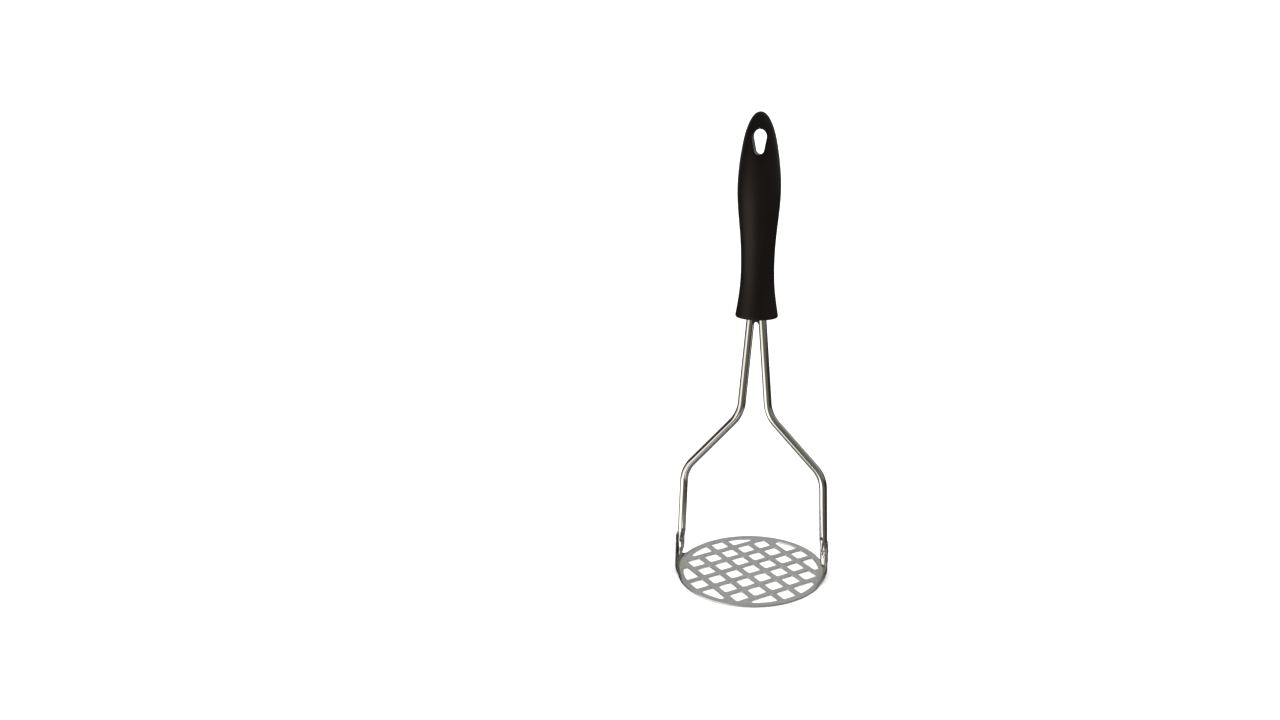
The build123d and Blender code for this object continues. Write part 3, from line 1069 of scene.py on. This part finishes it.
LOW_CARDS = (
    (-180, (0.40, 0.40, 0.38)),
    (-171, (0.75, 0.74, 0.70)),
    (-162, (2.20, 2.18, 2.08)),
    (-122, (2.20, 2.18, 2.06)),
    (-106, (0.90, 0.89, 0.80)),
    (-95, (0.20, 0.195, 0.155)),
    (-76, (0.14, 0.137, 0.105)),
    (-45, (0.15, 0.145, 0.105)),
    (-18, (0.055, 0.05, 0.034)),
    (70, (0.025, 0.023, 0.017)),
    (115, (0.09, 0.085, 0.075)),
    (150, (0.30, 0.29, 0.27)),
    (180, (0.40, 0.40, 0.38)),
)
HORIZON_CARDS = (
    (-180, (0.14, 0.135, 0.125)),
    (-170, (0.22, 0.215, 0.20)),
    (-158, (1.60, 1.56, 1.47)),
    (-122, (1.55, 1.51, 1.41)),
    (-108, (0.36, 0.35, 0.31)),
    (-96, (0.14, 0.135, 0.115)),
    (-82, (0.18, 0.176, 0.140)),
    (-58, (0.23, 0.225, 0.175)),
    (-38, (0.05, 0.047, 0.035)),
    (70, (0.02, 0.019, 0.016)),
    (110, (0.06, 0.057, 0.052)),
    (180, (0.14, 0.135, 0.125)),
)
MIDDLE_CARDS = (
    (-180, (0.06, 0.06, 0.06)),
    (-160, (0.80, 0.77, 0.73)),
    (-124, (1.95, 1.85, 1.72)),
    (-110, (0.22, 0.21, 0.20)),
    (-90, (0.03, 0.03, 0.028)),
    (-76, (0.035, 0.035, 0.033)),
    (-60, (0.22, 0.218, 0.205)),
    (-20, (0.32, 0.32, 0.31)),
    (30, (0.08, 0.08, 0.08)),
    (100, (0.08, 0.08, 0.08)),
    (180, (0.06, 0.06, 0.06)),
)
HIGH_CARDS = (
    (-180, (0.04, 0.04, 0.04)),
    (-160, (0.03, 0.03, 0.03)),
    (-110, (0.10, 0.10, 0.10)),
    (-60, (0.16, 0.16, 0.16)),
    (-10, (0.27, 0.27, 0.27)),
    (40, (0.50, 0.50, 0.49)),
    (65, (0.68, 0.68, 0.67)),
    (125, (0.70, 0.70, 0.69)),
    (148, (0.40, 0.40, 0.39)),
    (165, (0.04, 0.04, 0.04)),
    (180, (0.04, 0.04, 0.04)),
)
# Each ring with the heights between which it takes over from the ring below.
RINGS = (
    (BOTTOM_CARDS, None),
    (SKIRT_CARDS, (-0.69, -0.66)),
    (FOOT_CARDS, (-0.468, -0.458)),
    (LOW_CARDS, (-0.43, -0.41)),
    (HORIZON_CARDS, (-0.24, -0.15)),
    (MIDDLE_CARDS, (-0.03, 0.06)),
    (HIGH_CARDS, (0.17, 0.30)),
)


def card_ring(tree, turn, cards):
    """Colours of one ring of cards by share of a turn, as a socket."""
    ramp = tree.nodes.new("ShaderNodeValToRGB")
    tree.links.new(turn, ramp.inputs["Fac"])
    stops = ramp.color_ramp.elements
    for _ in cards[2:]:
        stops.new(0.5)
    for stop, (azimuth, colour) in zip(stops, cards):
        stop.position = (azimuth + 180) / 360
        stop.color = (*colour, 1.0)
    return ramp.outputs["Color"]


def tent_material():
    """Rings of pale and dark cards, one above the other."""
    material = bpy.data.materials.new("tent_cards")
    material.use_nodes = True
    tree = material.node_tree
    tree.nodes.clear()
    x, y, z = split_axes(tree, object_coordinates(tree))
    azimuth = arithmetic(tree, "ARCTAN2", y, x)
    turn = remap(tree, azimuth, -math.pi, math.pi, 0.0, 1.0)
    colour = None
    for cards, edge in RINGS:
        ring = card_ring(tree, turn, cards)
        if edge is not None:
            ring = mix_colours(tree, remap(tree, z, *edge, 0.0, 1.0), colour, ring)
        colour = ring
    glow = tree.nodes.new("ShaderNodeEmission")
    tree.links.new(colour, glow.inputs["Color"])
    output = tree.nodes.new("ShaderNodeOutputMaterial")
    tree.links.new(glow.outputs["Emission"], output.inputs["Surface"])
    return material


def make_tent():
    """Ring of pale and dark studio cards round the set, seen only in reflections."""
    sides = TENT_SIDES
    turns = [2 * math.pi * k / sides for k in range(sides)]
    vertices = [
        (TENT_RADIUS * math.cos(turn), TENT_RADIUS * math.sin(turn), height)
        for height in (TENT_LOW, TENT_HIGH) for turn in turns
    ]
    faces = [(k, (k + 1) % sides, sides + (k + 1) % sides, sides + k) for k in range(sides)]
    faces += [tuple(reversed(range(sides))), tuple(range(sides, 2 * sides))]
    mesh = bpy.data.meshes.new("reflection_tent")
    mesh.from_pydata(vertices, [], faces)
    mesh.materials.append(tent_material())
    tent = bpy.data.objects.new("reflection_tent", mesh)
    bpy.context.scene.collection.objects.link(tent)
    tent.visible_camera = False
    tent.visible_diffuse = False
    tent.visible_transmission = False
    tent.visible_volume_scatter = False
    tent.visible_shadow = False


CAMERA_PLACE = (0.0503, -0.4814, 0.2529)
CAMERA_YAW_DEG = 6.01
CAMERA_PITCH_DEG = -14.77
CAMERA_ROLL_DEG = 1.2
CAMERA_LENS_MM = 25.93
CAMERA_SHIFT_X = -0.0898


def make_camera():
    """Camera at the photographed angle."""
    data = bpy.data.cameras.new("camera")
    data.lens = CAMERA_LENS_MM
    data.sensor_width = 36.0
    data.shift_x = CAMERA_SHIFT_X
    data.clip_start = 0.01
    camera = bpy.data.objects.new("camera", data)
    bpy.context.scene.collection.objects.link(camera)
    camera.location = CAMERA_PLACE
    yaw = math.radians(CAMERA_YAW_DEG)
    pitch = math.radians(CAMERA_PITCH_DEG)
    forward = Vector((-math.sin(yaw) * math.cos(pitch), math.cos(yaw) * math.cos(pitch), math.sin(pitch)))
    aim = forward.to_track_quat("-Z", "Y").to_matrix().to_4x4()
    roll = Matrix.Rotation(math.radians(CAMERA_ROLL_DEG), 4, "Z")
    camera.matrix_world = Matrix.Translation(CAMERA_PLACE) @ aim @ roll
    bpy.context.scene.camera = camera


make_floor()
make_tent()
make_world()
make_camera()
make_light("key", (-0.45, -0.5, 1.15), (0, 0, 0.1), (1.1, 1.1), 0.4)
bpy.context.scene.view_settings.view_transform = "Standard"
